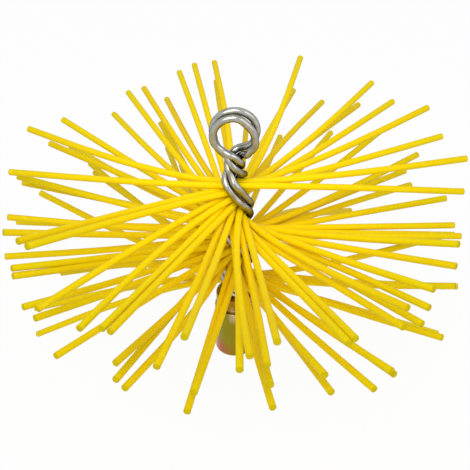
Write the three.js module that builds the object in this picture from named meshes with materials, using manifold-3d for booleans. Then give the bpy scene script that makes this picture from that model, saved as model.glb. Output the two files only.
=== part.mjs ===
// Chimney brush: two steel wires, each bent double, are twisted into a four-strand stem with an eye on top.
// Stiff plastic rods are clamped between the strands, layer by layer, and fan out to a ball.
// A threaded steel ferrule is crimped on the stem's lower end, where a sweep's rod is screwed in.
// Millimetres. The origin is on the stem's axis in the flat mouth of the ferrule, with Z up to the eye.
import * as THREE from 'three';
import { mergeVertices } from 'three/addons/utils/BufferGeometryUtils.js';
import Module from 'manifold-3d';

const wasm = await Module();
wasm.setup();

// Rods
const rodDiameter = 2.85;
const rodGap = 0.05;
const rodReach = 100;
const rodBend = 30;
const rodSides = 6;

// Wires of the stem
const wireDiameter = 3.2;
const wireGap = 0.3;
const wireSides = 8;
const wireSteps = 128;
const tightRadius = 2.88;
const pairSpacing = 4.35;
const windowGap = 0.45;
const topEase = 5;
const bottomEase = 3.2;
const wideEase = 6.5;
const turnAngle = 20;
const rateEase = 6;

// Heights along the stem, from the ferrule's rim up
const rootLength = 7.9;
const neckLength = 15;
const neckTurn = 225;

// Eye on top of the stem
const eyeWidth = 14;
const eyeCentreRise = 9.4;
const eyeFrontShift = 0.4;
const eyeFrontDent = 1.05;
const eyeBackGrowth = 0.45;
const eyeBackRise = 0.9;
const trailDrop = 2.2;
const arcSteps = 15;

// Ferrule with a female thread
const ferruleLength = 34.5;
const bodyDiameter = 18.5;
const bodyLength = 27;
const collarDiameter = 17.2;
const seamDiameter = 15.6;
const seamWidth = 1.2;
const edgeRadius = 1.1;
const rimRadius = 0.8;
const threadMajor = 12;
const threadMinor = 10.2;
const threadPitch = 1.75;
const threadLength = 16;
const boreDepth = 18.5;
const mouthChamfer = 1.1;
const socketDepth = 13;
const socketClearance = 0.4;
const crimpFlats = 6;
const crimpDepth = 0.45;
const crimpHeight = 3.6;
const turnSides = 32;
const cutOverrun = 1;

// Each row is a layer, from the top one down, and each entry is a rod: how far its first end swings from the
// layer's own heading, how far that end rises, then the same for its other end, all in degrees
const layerAngles = [
  [[3, -4.5, -8, -2], [5, 4, -21, 3]],
  [[0, 3, 20, 11], [7, 8, 16, 10]],
  [[0.5, 5, 16, 0], [8, 8, 2, -3]],
  [[-8, 1, 4, 4.5], [10.5, 12, 2, 4.5]],
  [[-16.5, 0, 13, 5], [-7.5, 2, 0, 9], [16, 10.5, -6, 0]],
  [[-4.5, 5.5, -1.5, 9.5], [2, 12, -3.5, 4], [6.5, 10, -9, 3]],
  [[-9.5, 3, 9.5, 9], [-2.5, 8.5, -4.5, 7.5], [2.5, 8.5, -6, 7]],
  [[-12.5, 4.5, -1, 10], [6, 11, -5, 3], [11.5, 6, -11.5, 6]],
  [[-16.5, 2.5, -6, 14], [6, 4, -9, 10], [9, 8, -22.5, 7.5]],
  [[-7, -2, 5.5, -2], [-1, 4, 4, -4], [16, 12, -1, -0.5]],
  [[-11, 1, 8.5, 7.5], [6, 10.5, -7, 3], [7, 9, -9, -9]],
  [[-7, 6, 2, 11], [-1, 7, -7, 1], [6.5, 1, -10, -2]],
  [[4, 5.5, 0, 4], [4, 10, -10.5, -19]],
  [[-14, 5.5, 6.5, 2.5], [0, 3, -4, 0.5], [1.5, 8.5, -16, -21.5]],
  [[-2, 6, 13, 9], [-2.5, 12, -8, -14], [9.5, 12, -12, -16]],
  [[-9, 8.5, -9, 1], [2, 4.5, -13, -6], [7, 7, -18, -12]],
  [[-12, 7, -2.5, 7], [8, 4, -4, 3]],
  [[14, -17, 0, 12], [0, 12, -1, -16], [12, 2, -2, -18]],
  [[3, -6, 2.5, -19], [8, 8, -4, -15]],
];

const turn = Math.PI / 180;
const layerStep = rodDiameter + rodGap;
const bottomLayer = ferruleLength + rootLength;
const topLayer = bottomLayer + (layerAngles.length - 1) * layerStep;
const neckHeight = topLayer + neckLength;
const openRate = turnAngle / layerStep;
const tightSpacing = tightRadius * Math.SQRT2;
const tightRate = (neckTurn - (openRate * rateEase) / 2) / (neckLength - rateEase / 2);
const topRadius = openRadius(layerAngles[0].length);
const wideRadius = openRadius(Math.max(...layerAngles.map((rods) => rods.length)));

const plastic = { color: 0xf5d000, roughness: 0.42, metalness: 0 };
const galvanised = { color: 0xb4b4b0, roughness: 0.34, metalness: 1 };
const chromate = { color: 0x9a8240, roughness: 0.38, metalness: 0.9 };

const brush = new THREE.Group();

// How far the strands stand from the axis with so many rods between them
function openRadius(abreast) {
  const halfWidth = (abreast * rodDiameter + (abreast - 1) * rodGap) / 2;
  return Math.hypot(halfWidth + windowGap + wireDiameter / 2, pairSpacing / 2);
}

function addPiece(name, geometry, finish) {
  const piece = new THREE.Mesh(geometry, new THREE.MeshStandardMaterial(finish));
  piece.name = name;
  brush.add(piece);
}

// Direction in the XY plane at a heading, tilted up by a rise, both in degrees
function direction(heading, rise = 0) {
  const flat = Math.cos(rise * turn);
  return new THREE.Vector3(
    flat * Math.cos(heading * turn),
    flat * Math.sin(heading * turn),
    Math.sin(rise * turn),
  );
}

// A round bar along the points, with square-cut ends; the rings turn as little as the bends allow
function sweepBar(points, diameter, sides) {
  const last = points.length - 1;
  const positions = [];
  const faces = [];
  const tangents = points.map((point, i) =>
    points[Math.min(i + 1, last)].clone().sub(points[Math.max(i - 1, 0)]).normalize(),
  );
  const side = new THREE.Vector3(0, 0, 1).cross(tangents[0]);
  if (side.lengthSq() < 0.1) side.set(1, 0, 0);
  points.forEach((point, i) => {
    side.addScaledVector(tangents[i], -side.dot(tangents[i])).normalize();
    const up = tangents[i].clone().cross(side);
    for (let j = 0; j < sides; j++) {
      const angle = (2 * Math.PI * j) / sides;
      const corner = point
        .clone()
        .addScaledVector(side, (Math.cos(angle) * diameter) / 2)
        .addScaledVector(up, (Math.sin(angle) * diameter) / 2);
      positions.push(corner.x, corner.y, corner.z);
    }
  });
  for (let i = 0; i < last; i++) {
    for (let j = 0; j < sides; j++) {
      const a = i * sides + j;
      const b = i * sides + ((j + 1) % sides);
      faces.push(a, b, b + sides, a, b + sides, a + sides);
    }
  }
  for (let j = 1; j < sides - 1; j++) {
    faces.push(0, j + 1, j);
    faces.push(last * sides, last * sides + j, last * sides + j + 1);
  }
  const geometry = new THREE.BufferGeometry();
  geometry.setAttribute('position', new THREE.Float32BufferAttribute(positions, 3));
  geometry.setIndex(faces);
  return geometry;
}

// Stem: how far the strands have turned at a height, counted from the neck down
function turnAt(z) {
  const above = z - topLayer;
  if (above > 0) return neckTurn - turnPastLayers(above);
  const through = Math.min(-above, topLayer - bottomLayer);
  return neckTurn + openRate * through + turnPastLayers(Math.max(bottomLayer - z, 0));
}

// Past the last rods the twist tightens over a short length and then keeps its rate
function turnPastLayers(length) {
  const eased = Math.min(length, rateEase);
  const meanRate = openRate + ((tightRate - openRate) * eased) / rateEase / 2;
  return meanRate * eased + tightRate * (length - eased);
}

// The strands stand apart where the rods pass between them and close up beyond
function closedShare(z) {
  const above = (z - topLayer - rodDiameter / 2) / topEase;
  const below = (bottomLayer - z - rodDiameter / 2) / bottomEase;
  return THREE.MathUtils.smoothstep(Math.max(above, below), 0, 1);
}

// A strand is one of a pair, which stay the same distance apart: pair 0 or 1, side -1 or 1 of its middle
function strandPoint(z, pair, side) {
  const widened = THREE.MathUtils.smoothstep(topLayer - z, layerStep, layerStep + wideEase);
  const open = THREE.MathUtils.lerp(topRadius, wideRadius, widened);
  const radius = THREE.MathUtils.lerp(open, tightRadius, closedShare(z));
  const spacing = THREE.MathUtils.lerp(pairSpacing, tightSpacing, closedShare(z));
  const halfAngle = Math.asin(spacing / 2 / radius) / turn;
  const heading = 45 + 180 * pair + turnAt(z) + side * halfAngle;
  return direction(heading).multiplyScalar(radius).setZ(z);
}

function strandPoints(pair, side, upper) {
  const lower = ferruleLength - socketDepth + wireDiameter / 2;
  const count = Math.round((upper - lower) / (wireDiameter / 2));
  const points = [];
  for (let i = 0; i <= count; i++) {
    points.push(strandPoint(lower + ((upper - lower) * i) / count, pair, side));
  }
  return points;
}

// Each wire's course round its eye: the angles between which it is round, and its legs below as X, Y and Z
// from the eye's centre in shares of its radius
const frontShares = {
  arcAngles: [200, -4],
  lead: [[-0.19, -0.36, -0.95], [-0.48, -0.254, -0.81], [-0.75, -0.21, -0.61]],
  trail: [
    [1.04, -0.21, -0.32],
    [0.97, -0.2, -0.63],
    [0.8, -0.18, -0.835],
    [0.644, -0.13, -1.07],
    [0.48, 0.03, -1.15],
  ],
};
const backShares = {
  arcAngles: [200, -15],
  lead: [[-0.235, -0.37, -1.02], [-0.52, -0.262, -0.887], [-0.83, -0.214, -0.66]],
  trail: [
    [0.93, -0.18, -0.534],
    [0.787, -0.17, -0.872],
    [0.593, -0.11, -1.11],
    [0.41, 0.02, -1.18],
  ],
};
// The front ring is pressed a little flat about this angle, out to this many degrees beside it
const dentAngle = 42;
const dentSpread = 47;

function eyePoints(shares, radius, centre, dent) {
  const [startAngle, endAngle] = shares.arcAngles;
  const fromCentre = (place) => new THREE.Vector3(...place).multiplyScalar(radius).add(centre);
  const arc = [];
  for (let i = 0; i <= arcSteps; i++) {
    const angle = startAngle + ((endAngle - startAngle) * i) / arcSteps;
    const pressed = THREE.MathUtils.smoothstep(dentSpread - Math.abs(angle - dentAngle), 0, dentSpread);
    const point = new THREE.Vector3(Math.cos(angle * turn), 0, Math.sin(angle * turn));
    point.multiplyScalar(radius - dent * pressed).add(centre);
    point.y = -(wireDiameter + wireGap) / 2;
    arc.push(point);
  }
  return [...shares.lead.map(fromCentre), ...arc, ...shares.trail.map(fromCentre)];
}

// A wire goes up one strand, round the eye and down the strand of the other pair
function addWire(name, eye, heading) {
  const lead = strandPoints(1, 1, neckHeight);
  const trail = strandPoints(0, -1, neckHeight - trailDrop).reverse();
  const curve = new THREE.CatmullRomCurve3([...lead, ...eye, ...trail]);
  const geometry = sweepBar(curve.getSpacedPoints(wireSteps), wireDiameter, wireSides);
  addPiece(name, geometry.rotateZ(heading * turn), galvanised);
}

// Half a rod leaves the stem straight and curves away to its end
const rodShares = [0.1, 0.25, 0.45, 0.7, 1];

function halfRod(middle, heading, swing, rise) {
  const end = direction(heading + swing, rise).multiplyScalar(rodReach);
  end.z += middle.z;
  const bend = direction(heading).multiplyScalar(rodBend).add(middle);
  const curve = new THREE.QuadraticBezierCurve3(middle, bend, end);
  return rodShares.map((share) => curve.getPoint(share));
}

function rodPoints(layer, abreast) {
  const heading = layer * turnAngle;
  const [swing, rise, farSwing, farRise] = layerAngles[layer][abreast];
  const fromAxis = (abreast - (layerAngles[layer].length - 1) / 2) * layerStep;
  const middle = direction(heading + 90).multiplyScalar(fromAxis);
  middle.z = topLayer - layer * layerStep;
  const near = halfRod(middle, heading, swing, rise).reverse();
  return [...near, middle, ...halfRod(middle, heading + 180, farSwing, farRise)];
}

function addRods() {
  let count = 0;
  layerAngles.forEach((rods, layer) => {
    rods.forEach((_, abreast) => {
      count += 1;
      const number = String(count).padStart(2, '0');
      addPiece(`rod_${number}`, sweepBar(rodPoints(layer, abreast), rodDiameter, rodSides), plastic);
    });
  });
}

// Solids for cutting, with shared corners and without the flat triangles on the axis
function toSolid(geometry) {
  geometry.deleteAttribute('normal');
  geometry.deleteAttribute('uv');
  const merged = mergeVertices(geometry);
  const index = merged.index.array;
  const corners = [];
  for (let i = 0; i < index.length; i += 3) {
    const [a, b, c] = index.slice(i, i + 3);
    if (a !== b && b !== c && c !== a) corners.push(a, b, c);
  }
  const vertProperties = new Float32Array(merged.attributes.position.array);
  const triVerts = new Uint32Array(corners);
  return new wasm.Manifold(new wasm.Mesh({ numProp: 3, vertProperties, triVerts }));
}

function toGeometry(solid) {
  const mesh = solid.getMesh();
  const geometry = new THREE.BufferGeometry();
  geometry.setAttribute('position', new THREE.BufferAttribute(new Float32Array(mesh.vertProperties), 3));
  geometry.setIndex(new THREE.BufferAttribute(new Uint32Array(mesh.triVerts), 1));
  return geometry;
}

// Quarter round in a profile, from one direction to another, both in degrees
function profileRound(x, y, radius, from, to, steps) {
  const points = [];
  for (let i = 0; i <= steps; i++) {
    const angle = (from + ((to - from) * i) / steps) * turn;
    points.push(new THREE.Vector2(x + radius * Math.cos(angle), y + radius * Math.sin(angle)));
  }
  return points;
}

// Turned solid from a profile of radius and height, listed from the bottom up
function turned(profile) {
  return toSolid(new THREE.LatheGeometry(profile, turnSides).rotateX(90 * turn));
}

function ferruleBlank() {
  const body = bodyDiameter / 2;
  const collar = collarDiameter / 2;
  const seam = seamDiameter / 2;
  return turned([
    new THREE.Vector2(0, 0),
    ...profileRound(body - edgeRadius, edgeRadius, edgeRadius, -90, 0, 4),
    ...profileRound(body - rimRadius, bodyLength - rimRadius, rimRadius, 0, 90, 3),
    new THREE.Vector2(seam, bodyLength),
    new THREE.Vector2(seam, bodyLength + seamWidth),
    new THREE.Vector2(collar, bodyLength + seamWidth),
    ...profileRound(collar - rimRadius, ferruleLength - rimRadius, rimRadius, 0, 90, 3),
    new THREE.Vector2(0, ferruleLength),
  ]);
}

function threadBore() {
  const radius = threadMinor / 2;
  return turned([
    new THREE.Vector2(0, -cutOverrun),
    new THREE.Vector2(radius + mouthChamfer + cutOverrun, -cutOverrun),
    new THREE.Vector2(radius, mouthChamfer),
    new THREE.Vector2(radius, boreDepth),
    new THREE.Vector2(0, boreDepth),
  ]);
}

function wireSocket() {
  const radius = tightRadius + wireDiameter / 2 + socketClearance;
  const floor = ferruleLength - socketDepth;
  return turned([
    new THREE.Vector2(0, floor),
    new THREE.Vector2(radius, floor),
    new THREE.Vector2(radius, ferruleLength + cutOverrun),
    new THREE.Vector2(0, ferruleLength + cutOverrun),
  ]);
}

// V groove of the thread, wound up the bore from below the mouth
function threadGroove() {
  const halfWidth = threadPitch * 0.44;
  const inside = (threadMinor - threadPitch * 0.3) / 2;
  const outside = threadMajor / 2;
  const steps = Math.round(((threadLength + threadPitch) / threadPitch) * turnSides);
  const positions = [];
  const faces = [];
  for (let i = 0; i <= steps; i++) {
    const angle = (2 * Math.PI * i) / turnSides;
    const height = (threadPitch * i) / turnSides - threadPitch;
    [[inside, -halfWidth], [outside, 0], [inside, halfWidth]].forEach(([radius, rise]) => {
      positions.push(radius * Math.cos(angle), radius * Math.sin(angle), height + rise);
    });
  }
  for (let i = 0; i < steps; i++) {
    for (let j = 0; j < 3; j++) {
      const a = i * 3 + j;
      const b = i * 3 + ((j + 1) % 3);
      faces.push(a, a + 3, b + 3, a, b + 3, b);
    }
  }
  faces.push(0, 1, 2, steps * 3, steps * 3 + 2, steps * 3 + 1);
  const geometry = new THREE.BufferGeometry();
  geometry.setAttribute('position', new THREE.Float32BufferAttribute(positions, 3));
  geometry.setIndex(faces);
  return toSolid(geometry);
}

// Flat left by one jaw of the press on the collar
function crimpFlat(heading) {
  const size = collarDiameter / 2;
  const middle = (bodyLength + seamWidth + ferruleLength) / 2;
  const block = new THREE.BoxGeometry(size, size, crimpHeight);
  block.translate(collarDiameter / 2 - crimpDepth + size / 2, 0, middle);
  return toSolid(block.rotateZ(heading * turn));
}

function addFerrule() {
  let solid = ferruleBlank().subtract(threadBore()).subtract(threadGroove()).subtract(wireSocket());
  for (let i = 0; i < crimpFlats; i++) {
    solid = solid.subtract(crimpFlat((360 / crimpFlats) * (i + 1 / 2)));
  }
  addPiece('threaded_ferrule', toGeometry(solid), chromate);
}

const eyeRadius = (eyeWidth + wireDiameter) / 2;
const eyeHeight = neckHeight + eyeCentreRise;
const frontCentre = new THREE.Vector3(-eyeFrontShift, 0, eyeHeight);
const backCentre = new THREE.Vector3(0, 0, eyeHeight + eyeBackRise);
addWire('front_wire', eyePoints(frontShares, eyeRadius, frontCentre, eyeFrontDent), 0);
addWire('back_wire', eyePoints(backShares, eyeRadius + eyeBackGrowth, backCentre, 0), 180);
addRods();
addFerrule();

export default brush;
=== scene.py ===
import math
import random

import bmesh
import bpy
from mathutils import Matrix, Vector


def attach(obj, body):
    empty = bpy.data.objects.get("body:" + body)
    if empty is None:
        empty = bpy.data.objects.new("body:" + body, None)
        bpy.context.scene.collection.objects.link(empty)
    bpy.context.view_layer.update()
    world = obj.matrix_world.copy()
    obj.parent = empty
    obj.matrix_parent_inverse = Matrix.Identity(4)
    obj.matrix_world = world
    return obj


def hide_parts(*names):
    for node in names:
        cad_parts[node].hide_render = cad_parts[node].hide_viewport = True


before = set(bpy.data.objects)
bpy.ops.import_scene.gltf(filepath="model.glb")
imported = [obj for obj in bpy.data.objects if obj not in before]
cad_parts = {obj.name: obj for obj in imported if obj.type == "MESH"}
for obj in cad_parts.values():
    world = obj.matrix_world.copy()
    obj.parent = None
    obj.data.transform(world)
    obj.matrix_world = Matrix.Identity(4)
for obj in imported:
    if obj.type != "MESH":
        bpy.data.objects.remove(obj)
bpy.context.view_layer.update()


# Stem. Two wires of galvanised spring steel are bent double, hooked into an eye at the top and
# twisted together, and the twist is what clamps the rods between the four strands.
WIRE_DIAMETER = 0.0032
DULL_ZINC = (0.26, 0.25, 0.21, 1)
BRIGHT_ZINC = (0.52, 0.52, 0.50, 1)


class Shade:
    """A node's output. Shader maths on it is written as plain arithmetic, and node() makes any other node."""

    def __init__(self, tree, socket=None):
        self.tree = tree
        self.socket = socket

    def node(self, kind, settings, sockets, output=0):
        made = self.tree.nodes.new(kind)
        for name, value in settings.items():
            if name == "stops":
                ramp = made.color_ramp
                while len(ramp.elements) < len(value):
                    ramp.elements.new(1)
                for element, (position, colour) in zip(ramp.elements, value):
                    element.position = position
                    element.color = (*colour, 1)
            else:
                setattr(made, name, value)
        for name, value in sockets.items():
            if isinstance(value, Shade):
                self.tree.links.new(value.socket, made.inputs[name])
            else:
                made.inputs[name].default_value = value
        return Shade(self.tree, made.outputs[output])

    def maths(self, operation, first, second):
        return self.node("ShaderNodeMath", {"operation": operation}, {0: first, 1: second})

    def __add__(self, other):
        return self.maths("ADD", self, other)

    __radd__ = __add__

    def __sub__(self, other):
        return self.maths("SUBTRACT", self, other)

    def __rsub__(self, other):
        return self.maths("SUBTRACT", other, self)

    def __mul__(self, other):
        return self.maths("MULTIPLY", self, other)

    __rmul__ = __mul__

    def between(self, low, high):
        """0 below low, 1 above high, and an even slope between."""
        sockets = {"Value": self, "From Min": low, "From Max": high}
        return self.node("ShaderNodeMapRange", {"clamp": True}, sockets)

    def blend(self, first, second):
        """The first colour where this is 0 and the second where it is 1."""
        sockets = {0: self, 6: first, 7: second}
        return self.node("ShaderNodeMix", {"data_type": "RGBA"}, sockets, 2)

    def noise(self, place, scale, detail=3, roughness=0.55):
        sockets = {"Vector": place, "Scale": scale, "Detail": detail, "Roughness": roughness}
        return self.node("ShaderNodeTexNoise", {}, sockets)

    def bump(self, height, depth):
        return self.node("ShaderNodeBump", {}, {"Height": height, "Distance": depth, "Strength": 1.0})

    def feed(self, **sockets):
        """Joins values to the surface shader's sockets, whose names have _ for a space here."""
        surface = self.tree.nodes["Principled BSDF"]
        for name, value in sockets.items():
            self.tree.links.new(value.socket, surface.inputs[name.replace("_", " ")])


def new_finish(name, **uniform):
    material = bpy.data.materials.new(name)
    material.use_nodes = True
    surface = material.node_tree.nodes["Principled BSDF"]
    for socket, value in uniform.items():
        surface.inputs[socket.replace("_", " ")].default_value = value
    return material, Shade(material.node_tree)


def wrapped_place(shade, length, around):
    """A bar's own coordinates: round its section, with no seam, and along its length."""
    own = shade.node("ShaderNodeUVMap", {"uv_map": "UVMap"}, {})
    along = shade.node("ShaderNodeSeparateXYZ", {}, {0: own}, "X")
    turn = shade.node("ShaderNodeSeparateXYZ", {}, {0: own}, "Y") * (2 * math.pi)
    cosine = shade.maths("COSINE", turn, 0.0) * around
    sine = shade.maths("SINE", turn, 0.0) * around
    return shade.node("ShaderNodeCombineXYZ", {}, {"X": cosine, "Y": sine, "Z": along * length})


def centreline(node):
    """The middles of a CAD bar's rings of corners, from one end to the other, read from a merged copy."""
    copy = bmesh.new()
    copy.from_mesh(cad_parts[node].data)
    bmesh.ops.remove_doubles(copy, verts=copy.verts, dist=1e-6)
    copy.verts.index_update()
    rim = next(edge for edge in copy.edges if edge.calc_face_angle() > 1.3)
    ring = {rim.verts[0]}
    grown = True
    while grown:
        grown = {
            edge.other_vert(corner)
            for corner in ring
            for edge in corner.link_edges
            if edge.calc_face_angle() > 1.3
        } - ring
        ring |= grown
    seen = set()
    middles = []
    while ring:
        # Added in a fixed order, so that each run gives the same last digits
        ordered = sorted(ring, key=lambda corner: corner.index)
        middles.append(sum((corner.co for corner in ordered), Vector()) / len(ordered))
        seen |= ring
        ring = {edge.other_vert(corner) for corner in ring for edge in corner.link_edges} - seen
    copy.free()
    return middles


def draw_bar(name, middles, diameter, sides, steps, rounding):
    """A round bar along the points, with square ends whose rims are rounded by a share of its diameter."""
    bpy.ops.object.select_all(action="DESELECT")
    bpy.ops.curve.primitive_bezier_curve_add()
    bar = bpy.context.object
    bar.name = name
    knots = bar.data.splines[0].bezier_points
    knots.add(len(middles) - 2)
    for knot, middle in zip(knots, middles):
        knot.co = middle
        knot.handle_left_type = knot.handle_right_type = "AUTO"
    bar.data.resolution_u = steps
    bar.data.bevel_depth = diameter / 2
    bar.data.bevel_resolution = sides // 2 - 2
    bpy.ops.object.convert(target="MESH")
    bpy.ops.object.mode_set(mode="EDIT")
    bpy.ops.mesh.select_all(action="SELECT")
    bpy.ops.mesh.remove_doubles(threshold=1e-6)
    bpy.ops.mesh.fill_holes(sides=0)
    bpy.ops.mesh.select_all(action="SELECT")
    bpy.ops.mesh.normals_make_consistent(inside=False)
    bpy.ops.mesh.select_all(action="DESELECT")
    bpy.ops.mesh.edges_select_sharp(sharpness=math.radians(60))
    bpy.ops.mesh.bevel(offset=diameter * rounding, segments=4)
    bpy.ops.object.mode_set(mode="OBJECT")
    bpy.ops.object.shade_smooth_by_angle(angle=math.radians(40))
    return bar


zinc, shade = new_finish("zinc_coated_wire", Metallic=1.0, Specular_Tint=(0.15, 0.15, 0.16, 1))
place = shade.node("ShaderNodeTexCoord", {}, {}, "Object")
drawn = wrapped_place(shade, 0.25, 0.006)
mottle = shade.noise(place, 520, 2, 0.5)
spangle = shade.noise(place, 130, 2)
lines = shade.noise(drawn, 260, 2, 0.6)
tone = mottle * 0.25 + spangle * 0.4 + lines * 0.5
shade.feed(
    Base_Color=tone.between(0.38, 0.78).blend(DULL_ZINC, BRIGHT_ZINC),
    Roughness=tone.between(0.3, 0.85) * 0.12 + 0.13,
    Normal=shade.bump(mottle * 0.3 + lines * 0.7, 0.00003),
)

for node in ("front_wire", "back_wire"):
    wire = draw_bar(node + "_drawn", centreline(node), WIRE_DIAMETER, 20, 3, 0.06)
    wire.data.materials.append(zinc)
    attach(wire, "root")
    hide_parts(node)


# Rods. Fifty stiff rods of yellow extruded plastic, cut square, lie layer on layer through the stem,
# where the strands' twist grips them at their middles and turns each layer a little further.
ROD_DIAMETER = 0.00285
YELLOW = (0.720, 0.580, 0.001, 1)
DEEP_YELLOW = (0.720, 0.510, 0.001, 1)
PALE_YELLOW = (0.750, 0.650, 0.014, 1)
# Painted bounce light: the brighter, warmer yellow given to the rods near the stem
BOUNCE_LIGHT_YELLOW = (0.960, 0.695, 0.001, 1)
# The cut ends are a darker yellow than the rods' sides: painted shade, because the ends face the lamps
SHADED_END_YELLOW = (0.590, 0.475, 0.001, 1)
DEEP_SHADED_END_YELLOW = (0.520, 0.395, 0.001, 1)
SHEEN = (1.0, 0.85, 0.25, 1)
BOUNCE_LIGHT_FULL_REACH = 0.020
BOUNCE_LIGHT_END_REACH = 0.095
END_SHARE = 0.6

yellow, shade = new_finish("yellow_rod_plastic", Specular_IOR_Level=0.2, Specular_Tint=SHEEN)
place = shade.node("ShaderNodeTexCoord", {}, {}, "Object")
drawn = wrapped_place(shade, 0.02, 0.003)
cloud = shade.noise(place, 90, 3)
lines = shade.noise(drawn, 500, 2, 0.5)
scuffs = shade.noise(place, 420, 3)
tone = shade.node("ShaderNodeAttribute", {"attribute_name": "tone"}, {}, "Fac")
mixed = cloud * 0.5 + lines * 0.4 + tone * 0.5
body = mixed.between(0.35, 1.05).blend(DEEP_YELLOW, YELLOW)
# Painted bounce light: the rods are a brighter, warmer yellow near the stem than at their ends, standing in
# for the light that bounces between the rods there
levelled = shade.node("ShaderNodeMapping", {}, {"Vector": place, "Scale": (1, 1, 0)})
reach = shade.node("ShaderNodeVectorMath", {"operation": "LENGTH"}, {0: levelled}, "Value")
painted_bounce_light = reach.between(BOUNCE_LIGHT_END_REACH, BOUNCE_LIGHT_FULL_REACH).blend(body, BOUNCE_LIGHT_YELLOW)
shade.feed(
    Base_Color=scuffs.between(0.58, 0.8).blend(painted_bounce_light, PALE_YELLOW),
    Roughness=lines * 0.16 + cloud * 0.12 + 0.36,
    Normal=shade.bump(lines * 0.8 + scuffs * 0.2, 0.00003),
)

# Cut ends: their darker colour is painted shade, while their marks and rougher surface are their own
cut_end, shade = new_finish("yellow_rod_cut_end", Specular_IOR_Level=0.1, Specular_Tint=SHEEN)
place = shade.node("ShaderNodeTexCoord", {}, {}, "Object")
marks = shade.noise(place, 1200, 3)
shade.feed(
    Base_Color=marks.between(0.35, 0.7).blend(DEEP_SHADED_END_YELLOW, SHADED_END_YELLOW),
    Roughness=marks * 0.2 + 0.5,
    Normal=shade.bump(marks, 0.00003),
)

chance = random.Random(7)
for node in sorted(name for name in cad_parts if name.startswith("rod_")):
    middles = centreline(node)
    rod = draw_bar(node + "_extruded", middles, ROD_DIAMETER, 16, 3, 0.16)
    shift = chance.random()
    values = rod.data.attributes.new("tone", "FLOAT", "POINT")
    values.data.foreach_set("value", [shift] * len(rod.data.vertices))
    rod.data.materials.append(yellow)
    rod.data.materials.append(cut_end)
    for face in rod.data.polygons:
        to_end = min((face.center - middles[0]).length, (face.center - middles[-1]).length)
        face.material_index = int(to_end < ROD_DIAMETER * END_SHARE)
    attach(rod, "root")
    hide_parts(node)


# Ferrule. A turned steel bush with a yellow chromate finish is crimped on the strands' lower ends by
# six jaws, and has a female thread below, where the sweep's rod is screwed in.
BODY_RADIUS = 0.00925
BODY_LENGTH = 0.027
COLLAR_RADIUS = 0.0086
SEAM_RADIUS = 0.0078
SEAM_WIDTH = 0.0012
LENGTH = 0.0345
EDGE_RADIUS = 0.0011
RIM_RADIUS = 0.0008
THREAD_MAJOR_RADIUS = 0.006
THREAD_MINOR_RADIUS = 0.0051
THREAD_PITCH = 0.00175
THREAD_TURNS = 10
THREAD_STEPS = 72
BORE_DEPTH = 0.0185
MOUTH_CHAMFER = 0.0011
SOCKET_RADIUS = 0.00488
SOCKET_FLOOR = 0.0215
CRIMP_FLATS = 6
CRIMP_DEPTH = 0.00045
CRIMP_HEIGHT = 0.0036


def settle_order(piece):
    """Orders corners, edges and faces by their places alone, so that each run cuts and merges alike."""
    mesh = bmesh.from_edit_mesh(piece.data)

    def own_place(corner):
        return tuple(corner.co)

    def own_corners(part):
        return sorted(corner.index for corner in part.verts)

    for parts, key in ((mesh.verts, own_place), (mesh.edges, own_corners), (mesh.faces, own_corners)):
        numbers = {part: number for number, part in enumerate(sorted(parts, key=key))}
        parts.sort(key=numbers.get)
        parts.index_update()
    bmesh.update_edit_mesh(piece.data)


profile = [
    (0, BORE_DEPTH, 0),
    (THREAD_MINOR_RADIUS, BORE_DEPTH, 0),
    (THREAD_MINOR_RADIUS, MOUTH_CHAMFER, 0),
    (THREAD_MINOR_RADIUS + MOUTH_CHAMFER, 0, 0),
    (BODY_RADIUS, 0, EDGE_RADIUS),
    (BODY_RADIUS, BODY_LENGTH, RIM_RADIUS),
    (SEAM_RADIUS, BODY_LENGTH, 0),
    (SEAM_RADIUS, BODY_LENGTH + SEAM_WIDTH, 0),
    (COLLAR_RADIUS, BODY_LENGTH + SEAM_WIDTH, RIM_RADIUS / 4),
    (COLLAR_RADIUS, LENGTH, RIM_RADIUS),
    (SOCKET_RADIUS, LENGTH, RIM_RADIUS / 4),
    (SOCKET_RADIUS, SOCKET_FLOOR, 0),
    (0, SOCKET_FLOOR, 0),
]
bpy.ops.object.select_all(action="DESELECT")
bpy.ops.mesh.primitive_plane_add(size=0.001)
ferrule = bpy.context.object
ferrule.name = "ferrule_turned"
bpy.ops.object.mode_set(mode="EDIT")
bpy.ops.mesh.select_mode(type="VERT")
bpy.ops.mesh.select_all(action="SELECT")
bpy.ops.mesh.merge(type="CENTER")
bpy.ops.transform.translate(value=(0, 0, BORE_DEPTH))
for before, after in zip(profile, profile[1:]):
    step = (after[0] - before[0], 0, after[1] - before[1])
    bpy.ops.mesh.extrude_region_move(TRANSFORM_OT_translate={"value": step})
for radius, height, rounding in profile:
    if rounding:
        mesh = bmesh.from_edit_mesh(ferrule.data)
        for corner in mesh.verts:
            corner.select = (corner.co - Vector((radius, 0, height))).length < 1e-6
        mesh.select_flush_mode()
        bpy.ops.mesh.bevel(offset=rounding, segments=6, affect="VERTICES")
bpy.ops.mesh.select_all(action="SELECT")
bpy.ops.mesh.spin(steps=96, angle=2 * math.pi, center=(0, 0, 0), axis=(0, 0, 1))
bpy.ops.mesh.select_all(action="SELECT")
bpy.ops.mesh.remove_doubles(threshold=1e-6)
bpy.ops.mesh.normals_make_consistent(inside=False)
settle_order(ferrule)
bpy.ops.object.mode_set(mode="OBJECT")

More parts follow.
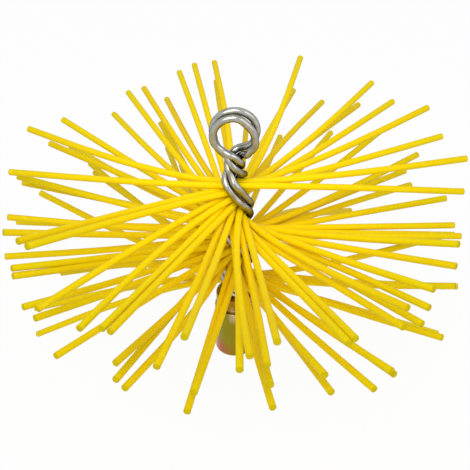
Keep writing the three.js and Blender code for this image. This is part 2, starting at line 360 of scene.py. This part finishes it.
bpy.ops.object.select_all(action="DESELECT")
bpy.ops.mesh.primitive_circle_add(vertices=3, radius=0.001, fill_type="NGON")
tap = bpy.context.object
tap_inside = THREAD_MINOR_RADIUS - THREAD_PITCH * 0.15
half_groove = THREAD_PITCH * 0.44
groove = [
    (THREAD_MAJOR_RADIUS, 0, 0),
    (tap_inside, 0, -half_groove),
    (tap_inside, 0, half_groove),
]
for corner, spot in zip(tap.data.vertices, groove):
    corner.co = Vector(spot) - Vector((0, 0, THREAD_PITCH))
winding = tap.modifiers.new("winding", "SCREW")
winding.steps = winding.render_steps = THREAD_STEPS
winding.iterations = THREAD_TURNS
winding.screw_offset = THREAD_PITCH
winding.use_merge_vertices = False
bpy.ops.object.modifier_apply(modifier=winding.name)
bpy.ops.object.mode_set(mode="EDIT")
bpy.ops.mesh.select_all(action="SELECT")
bpy.ops.mesh.remove_doubles(threshold=1e-6)
bpy.ops.mesh.select_all(action="SELECT")
bpy.ops.mesh.fill_holes(sides=3)
bpy.ops.mesh.select_all(action="SELECT")
bpy.ops.mesh.normals_make_consistent(inside=False)
bpy.ops.object.mode_set(mode="OBJECT")

jaws = []
for number in range(CRIMP_FLATS):
    heading = 2 * math.pi * (number + 0.5) / CRIMP_FLATS
    bpy.ops.object.select_all(action="DESELECT")
    bpy.ops.mesh.primitive_cube_add(size=COLLAR_RADIUS)
    jaw = bpy.context.object
    bpy.ops.object.mode_set(mode="EDIT")
    bpy.ops.transform.resize(value=(1, 1, CRIMP_HEIGHT / COLLAR_RADIUS))
    bpy.ops.mesh.bevel(offset=CRIMP_DEPTH * 0.9, segments=4)
    bpy.ops.mesh.select_all(action="SELECT")
    reach = COLLAR_RADIUS - CRIMP_DEPTH + COLLAR_RADIUS / 2
    middle = (BODY_LENGTH + SEAM_WIDTH + LENGTH) / 2
    bpy.ops.transform.translate(value=(reach, 0, middle))
    bpy.ops.transform.rotate(value=-heading, orient_axis="Z", center_override=(0, 0, 0))
    bpy.ops.object.mode_set(mode="OBJECT")
    jaws.append(jaw)

for cutter in (tap, *jaws):
    cut = ferrule.modifiers.new("cut", "BOOLEAN")
    cut.object = cutter
    cut.operation = "DIFFERENCE"
    cut.solver = "EXACT"
    bpy.ops.object.select_all(action="DESELECT")
    bpy.context.view_layer.objects.active = ferrule
    ferrule.select_set(True)
    bpy.ops.object.modifier_apply(modifier=cut.name)
    bpy.data.objects.remove(cutter)
# The cuts leave slivers, which are merged away
bpy.ops.object.mode_set(mode="EDIT")
bpy.ops.mesh.select_all(action="SELECT")
bpy.ops.mesh.remove_doubles(threshold=2e-6)
bpy.ops.mesh.dissolve_degenerate(threshold=2e-6)
bpy.ops.object.mode_set(mode="OBJECT")
bpy.ops.object.shade_smooth_by_angle(angle=math.radians(30))

OLIVE = (0.270, 0.230, 0.006, 1)
BROWN = (0.330, 0.150, 0.006, 1)
PINK = (0.430, 0.100, 0.045, 1)
BLUSH_PLACE = (-0.0080, -0.0050, 0.0035)
BLUSH_WIDTH = 0.0075
FOOT_HEIGHT = 0.012
# Painted highlight: a pale patch on the front of the shoulder, where a lamp's reflection falls
PAINTED_HIGHLIGHT_OLIVE = (0.520, 0.400, 0.240, 1)
PAINTED_HIGHLIGHT_PLACE = (-0.0006, -0.0092, 0.0262)
PAINTED_HIGHLIGHT_SIZE = (0.0036, 0.0036, 0.0070)

chromate, shade = new_finish("yellow_chromate", Metallic=0.9)
place = shade.node("ShaderNodeTexCoord", {}, {}, "Object")
stretched = shade.node("ShaderNodeMapping", {}, {"Vector": place, "Scale": (1, 1, 0.12)})
streaks = shade.noise(stretched, 900, 3, 0.6)
drift = shade.noise(place, 110, 2)
grit = shade.noise(place, 2400, 3)
height = shade.node("ShaderNodeSeparateXYZ", {}, {0: place}, "Z")
side = shade.node("ShaderNodeSeparateXYZ", {}, {0: place}, "X")
collar = height.between(BODY_LENGTH, BODY_LENGTH + SEAM_WIDTH)
foot = height.between(FOOT_HEIGHT, 0.0)
browned = drift * 0.5 + streaks * 0.35 + side * 24 + collar * 0.3 + foot * 0.25
gold = browned.between(0.34, 0.76).blend(OLIVE, BROWN)
away = shade.node("ShaderNodeVectorMath", {"operation": "DISTANCE"}, {0: place, 1: BLUSH_PLACE}, "Value")
blush = (away * (1 / BLUSH_WIDTH) + drift * 0.8).between(1.35, 0.75)
# The painted highlight is palest at its place and thins out over its size, broken by the streaks
apart = shade.node("ShaderNodeVectorMath", {"operation": "SUBTRACT"}, {0: place, 1: PAINTED_HIGHLIGHT_PLACE})
shares = shade.node("ShaderNodeVectorMath", {"operation": "DIVIDE"}, {0: apart, 1: PAINTED_HIGHLIGHT_SIZE})
far = shade.node("ShaderNodeVectorMath", {"operation": "LENGTH"}, {0: shares}, "Value")
painted_highlight_mask = (far + streaks * 0.5).between(1.05, 0.35)
shade.feed(
    Base_Color=blush.blend(painted_highlight_mask.blend(gold, PAINTED_HIGHLIGHT_OLIVE), PINK),
    Roughness=streaks * 0.15 + grit * 0.05 + 0.12,
    Normal=shade.bump(streaks * 0.5 + grit * 0.5, 0.00003),
)
ferrule.data.materials.clear()
ferrule.data.materials.append(chromate)
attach(ferrule, "root")
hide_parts("threaded_ferrule")


# Camera, at the photograph's angle: straight in front and 38 degrees above the horizon.
bpy.ops.object.camera_add(location=(0.00013, -0.3231, 0.3193), rotation=(math.radians(52), 0, 0))
camera = bpy.context.object
camera.data.lens = 70.85
camera.data.sensor_width = 36
camera.data.clip_start = 0.01
camera.data.clip_end = 20
bpy.context.scene.camera = camera

bpy.context.scene.view_settings.view_transform = "Standard"


# Floor and surroundings. A pale floor, which looks white to the camera and keeps a faint shadow, in
# a white room.
def is_seen(shade):
    """1 for rays from the camera and in reflections, 0 for those that light the object."""
    camera_ray = shade.node("ShaderNodeLightPath", {}, {}, "Is Camera Ray")
    glossy_ray = shade.node("ShaderNodeLightPath", {}, {}, "Is Glossy Ray")
    through_ray = shade.node("ShaderNodeLightPath", {}, {}, "Is Transmission Ray")
    return shade.maths("MAXIMUM", camera_ray, shade.maths("MAXIMUM", glossy_ray, through_ray))


bpy.ops.object.select_all(action="DESELECT")
bpy.ops.mesh.primitive_plane_add(size=6)
floor = bpy.context.object
floor.name = "floor"
paper, shade = new_finish(
    "pale_floor", Base_Color=(0.8, 0.8, 0.8, 1), Roughness=1.0, Specular_IOR_Level=0.0
)
matt = Shade(paper.node_tree, paper.node_tree.nodes["Principled BSDF"].outputs[0])
white = shade.node("ShaderNodeEmission", {}, {"Color": (1, 1, 1, 1), "Strength": 1.0})
mixed = shade.node("ShaderNodeMixShader", {}, {0: is_seen(shade) * 0.94, 1: matt, 2: white})
paper.node_tree.links.new(mixed.socket, paper.node_tree.nodes["Material Output"].inputs["Surface"])
floor.data.materials.append(paper)

room = bpy.data.worlds.new("white_room")
room.use_nodes = True
bpy.context.scene.world = room
shade = Shade(room.node_tree)
level = is_seen(shade) * 0.37 + 0.63
room.node_tree.nodes["Background"].inputs["Color"].default_value = (1, 1, 1, 1)
room.node_tree.links.new(level.socket, room.node_tree.nodes["Background"].inputs["Strength"])

for name, place, size, power in (
    ("key_light", (-0.22, -0.66, 1.05), 1.1, 8.7),
    ("fill_light", (0.75, -0.45, 0.6), 0.7, 1.5),
):
    bpy.ops.object.light_add(type="AREA", location=place)
    lamp = bpy.context.object
    lamp.name = name
    lamp.data.shape = "DISK"
    lamp.data.size = size
    lamp.data.energy = power
    lamp.rotation_euler = (Vector(place) - Vector((0, 0, 0.07))).to_track_quat("Z", "Y").to_euler()
